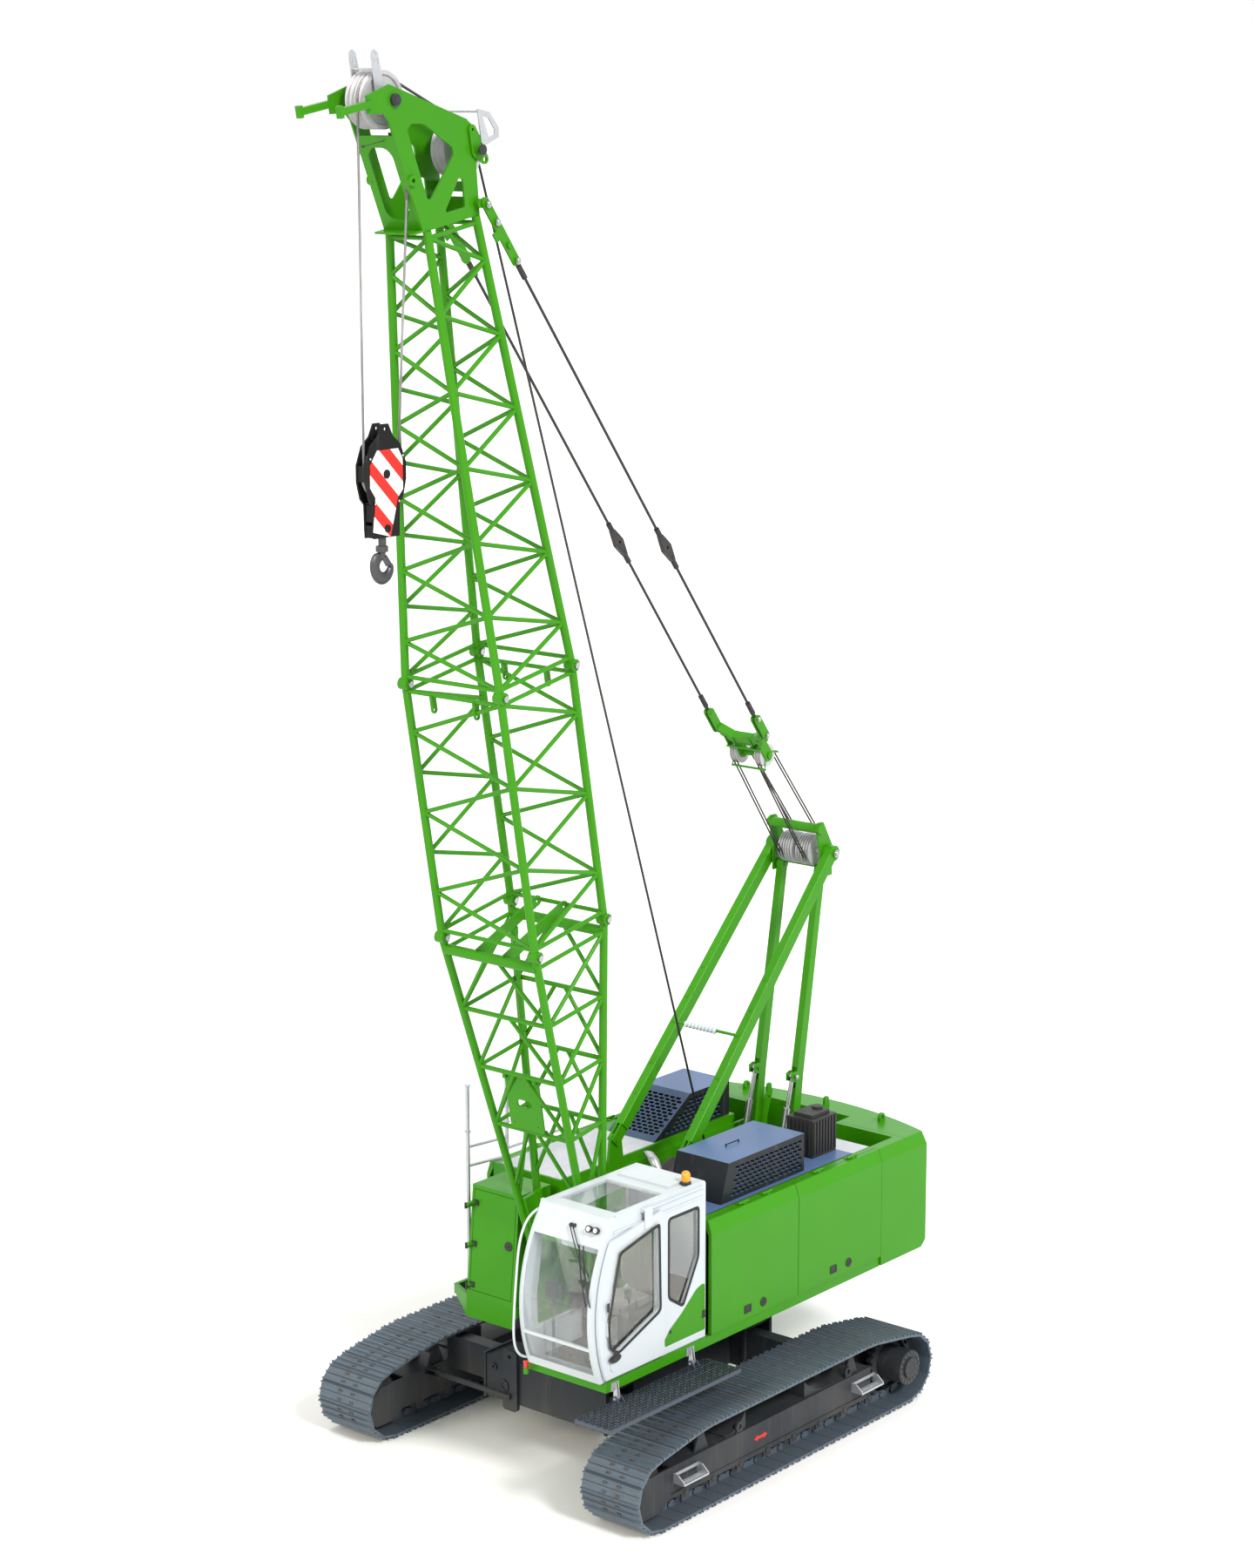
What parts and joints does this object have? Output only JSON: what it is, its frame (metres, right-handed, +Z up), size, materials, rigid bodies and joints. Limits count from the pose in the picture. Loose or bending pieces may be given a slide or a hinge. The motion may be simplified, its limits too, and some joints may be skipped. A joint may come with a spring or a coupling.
{
  "type": "crawler crane",
  "caption": "Lattice-boom crawler crane with telescoping tracks, slewing house, sliding-door cab, luffing boom on stays and gantry, and a hook block that hoists.",
  "frame": {"origin": "on the ground under the slew axis", "axes": "+X forward, the way the cab faces and the boom leans; +Y to the machine's left; +Z up"},
  "size_m": [7.4873, 4.15, 13.536],
  "materials": {
    "green_paint": "gloss",
    "chassis_paint": "satin",
    "track_steel": "worn",
    "hood_paint": "satin",
    "white_paint": "gloss",
    "galvanised": "matt",
    "sheave_steel": "satin",
    "machinery": "matt",
    "window_glass": "clear",
    "seat_fabric": "woven",
    "amber_lens": "gloss",
    "black_plastic": "matt",
    "hook_block_paint": "satin",
    "stripe_paint": "gloss",
    "hook_steel": "worn",
    "stay_steel": "oiled"
  },
  "bodies": {
    "undercarriage": {"centre_frame": "chassis_paint", "slew_ring": "machinery"},
    "left_track": {"left_track_frame": "chassis_paint", "left_beams": "chassis_paint", "left_track_loop": "track_steel", "left_drive_sprocket": "chassis_paint", "left_rollers": "machinery", "left_steps": "galvanised"},
    "right_track": {"right_track_frame": "chassis_paint", "right_beams": "chassis_paint", "right_track_loop": "track_steel", "right_drive_sprocket": "chassis_paint", "right_rollers": "machinery", "right_steps": "galvanised"},
    "upper": {"main_frame": "green_paint", "left_house": "green_paint", "right_house": "green_paint", "engine": "machinery", "left_hood": "hood_paint", "right_hood": "hood_paint", "air_cleaner": "black_plastic", "exhaust": "machinery", "counterweight": "green_paint", "winches": "machinery", "cab_shell": "white_paint", "cab_glass": "window_glass", "gantry_cylinders": "machinery", "cab_seat": "seat_fabric", "cab_controls": "black_plastic", "lamps": "amber_lens", "locker": "green_paint", "fittings": "galvanised", "gantry_front_legs": "green_paint", "gantry_rear_legs": "green_paint", "gantry_head": "green_paint", "gantry_sheaves": "sheave_steel"},
    "left_front_door": {"left_door_front": "green_paint"},
    "left_rear_door": {"left_door_rear": "green_paint"},
    "right_front_door": {"right_door_front": "green_paint"},
    "right_rear_door": {"right_door_rear": "green_paint"},
    "cab_door_body": {"cab_door": "white_paint", "cab_door_glass": "window_glass"},
    "locker_door_body": {"locker_door": "green_paint"},
    "boom": {"boom_foot": "green_paint", "strut": "green_paint", "boom_insert": "green_paint", "boom_top": "green_paint", "boom_head": "green_paint", "head_guards": "chassis_paint", "rear_sheaves": "sheave_steel"},
    "head_sheave_pack": {"head_sheaves": "sheave_steel"},
    "stays": {"stay_links": "green_paint", "pendants": "stay_steel", "bridle": "green_paint", "bridle_sheaves": "white_paint"},
    "catwalk_body": {"catwalk": "galvanised"},
    "hook_assembly": {"hook_block": "hook_block_paint", "block_panels": "stripe_paint", "block_sheave": "sheave_steel", "hook": "hook_steel"}
  },
  "joints": [
    {"name": "left_track_width", "type": "slide", "parent": "undercarriage", "child": "left_track", "axis": [0, -1, 0], "range_m": [0, 0.55]},
    {"name": "right_track_width", "type": "slide", "parent": "undercarriage", "child": "right_track", "axis": [0, 1, 0], "range_m": [0, 0.55]},
    {"name": "slew", "type": "hinge", "parent": "undercarriage", "child": "upper", "pos_m": [0, 0, 1.1], "axis": [0, 0, 1], "continuous": true},
    {"name": "boom_luff", "type": "hinge", "parent": "upper", "child": "boom", "pos_m": [0.87, 0, 1.45], "axis": [0, -1, 0], "range_deg": [-60, 3]},
    {"name": "stay_swing", "type": "hinge", "parent": "upper", "child": "stays", "pos_m": [-0.17456, 0, 0.09788], "axis": [0, -1, 0], "range_deg": [-52.2, 2.7]},
    {"name": "head_level", "type": "hinge", "parent": "boom", "child": "head_sheave_pack", "pos_m": [3.39335, 0, 13.11456], "axis": [0, -1, 0], "range_deg": [-3.5, 60.5]},
    {"name": "hoist", "type": "slide", "parent": "head_sheave_pack", "child": "hook_assembly", "axis": [0, 0, 1], "range_m": [-8.3, 1.7]},
    {"name": "left_front_door_lift", "type": "hinge", "parent": "upper", "child": "left_front_door", "pos_m": [0, 1.371, 2.531], "axis": [1, 0, 0], "range_deg": [0, 95]},
    {"name": "left_rear_door_lift", "type": "hinge", "parent": "upper", "child": "left_rear_door", "pos_m": [0, 1.371, 2.531], "axis": [1, 0, 0], "range_deg": [0, 95]},
    {"name": "right_front_door_lift", "type": "hinge", "parent": "upper", "child": "right_front_door", "pos_m": [0, -1.371, 2.531], "axis": [-1, 0, 0], "range_deg": [0, 95]},
    {"name": "right_rear_door_lift", "type": "hinge", "parent": "upper", "child": "right_rear_door", "pos_m": [0, -1.371, 2.531], "axis": [-1, 0, 0], "range_deg": [0, 95]},
    {"name": "cab_door_slide", "type": "slide", "parent": "upper", "child": "cab_door_body", "axis": [-1, 0, 0], "range_m": [0, 0.65]},
    {"name": "catwalk_fold", "type": "hinge", "parent": "upper", "child": "catwalk_body", "pos_m": [1.575, 1.478, 1.178], "axis": [1, 0, 0], "range_deg": [0, 88]},
    {"name": "locker_door_swing", "type": "hinge", "parent": "upper", "child": "locker_door_body", "pos_m": [1.214, -1.118, 1.9], "axis": [0, 0, -1], "range_deg": [0, 100]}
  ],
  "couplings": [
    {"joint": "stay_swing", "follows": "boom_luff", "ratio": 0.86807},
    {"joint": "head_level", "follows": "boom_luff", "ratio": -1}
  ]
}
